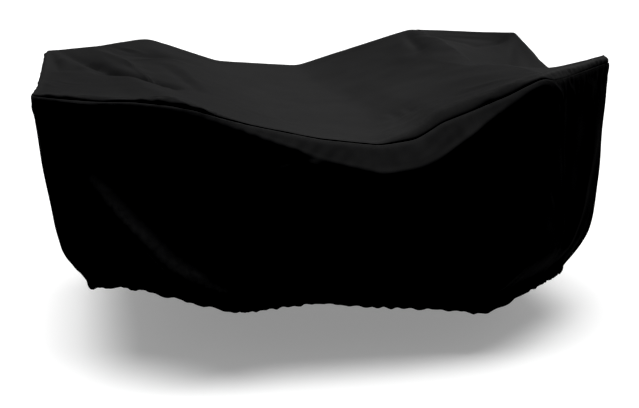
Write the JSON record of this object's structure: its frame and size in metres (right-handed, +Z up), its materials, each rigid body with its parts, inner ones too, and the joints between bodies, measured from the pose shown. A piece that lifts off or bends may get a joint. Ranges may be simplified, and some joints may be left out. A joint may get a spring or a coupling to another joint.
{
  "type": "patio furniture cover",
  "caption": "Fitted black outdoor cover stretched over four high ridges, with a sewn top, rolled edges and a long skirt drawn in at the hem.",
  "frame": {"origin": "under the middle of the top, where the cloth rests on what it covers", "axes": "+X to the right of the front, +Y from the front to the back, +Z up"},
  "size_m": [2.0196, 1.8107, 0.7756],
  "materials": {
    "cover_cloth": "matt black coated woven polyester"
  },
  "bodies": {
    "root": {"top_left": "cover_cloth", "top_centre": "cover_cloth", "top_right": "cover_cloth", "skirt_front": "cover_cloth", "skirt_back": "cover_cloth"}
  },
  "joints": []
}
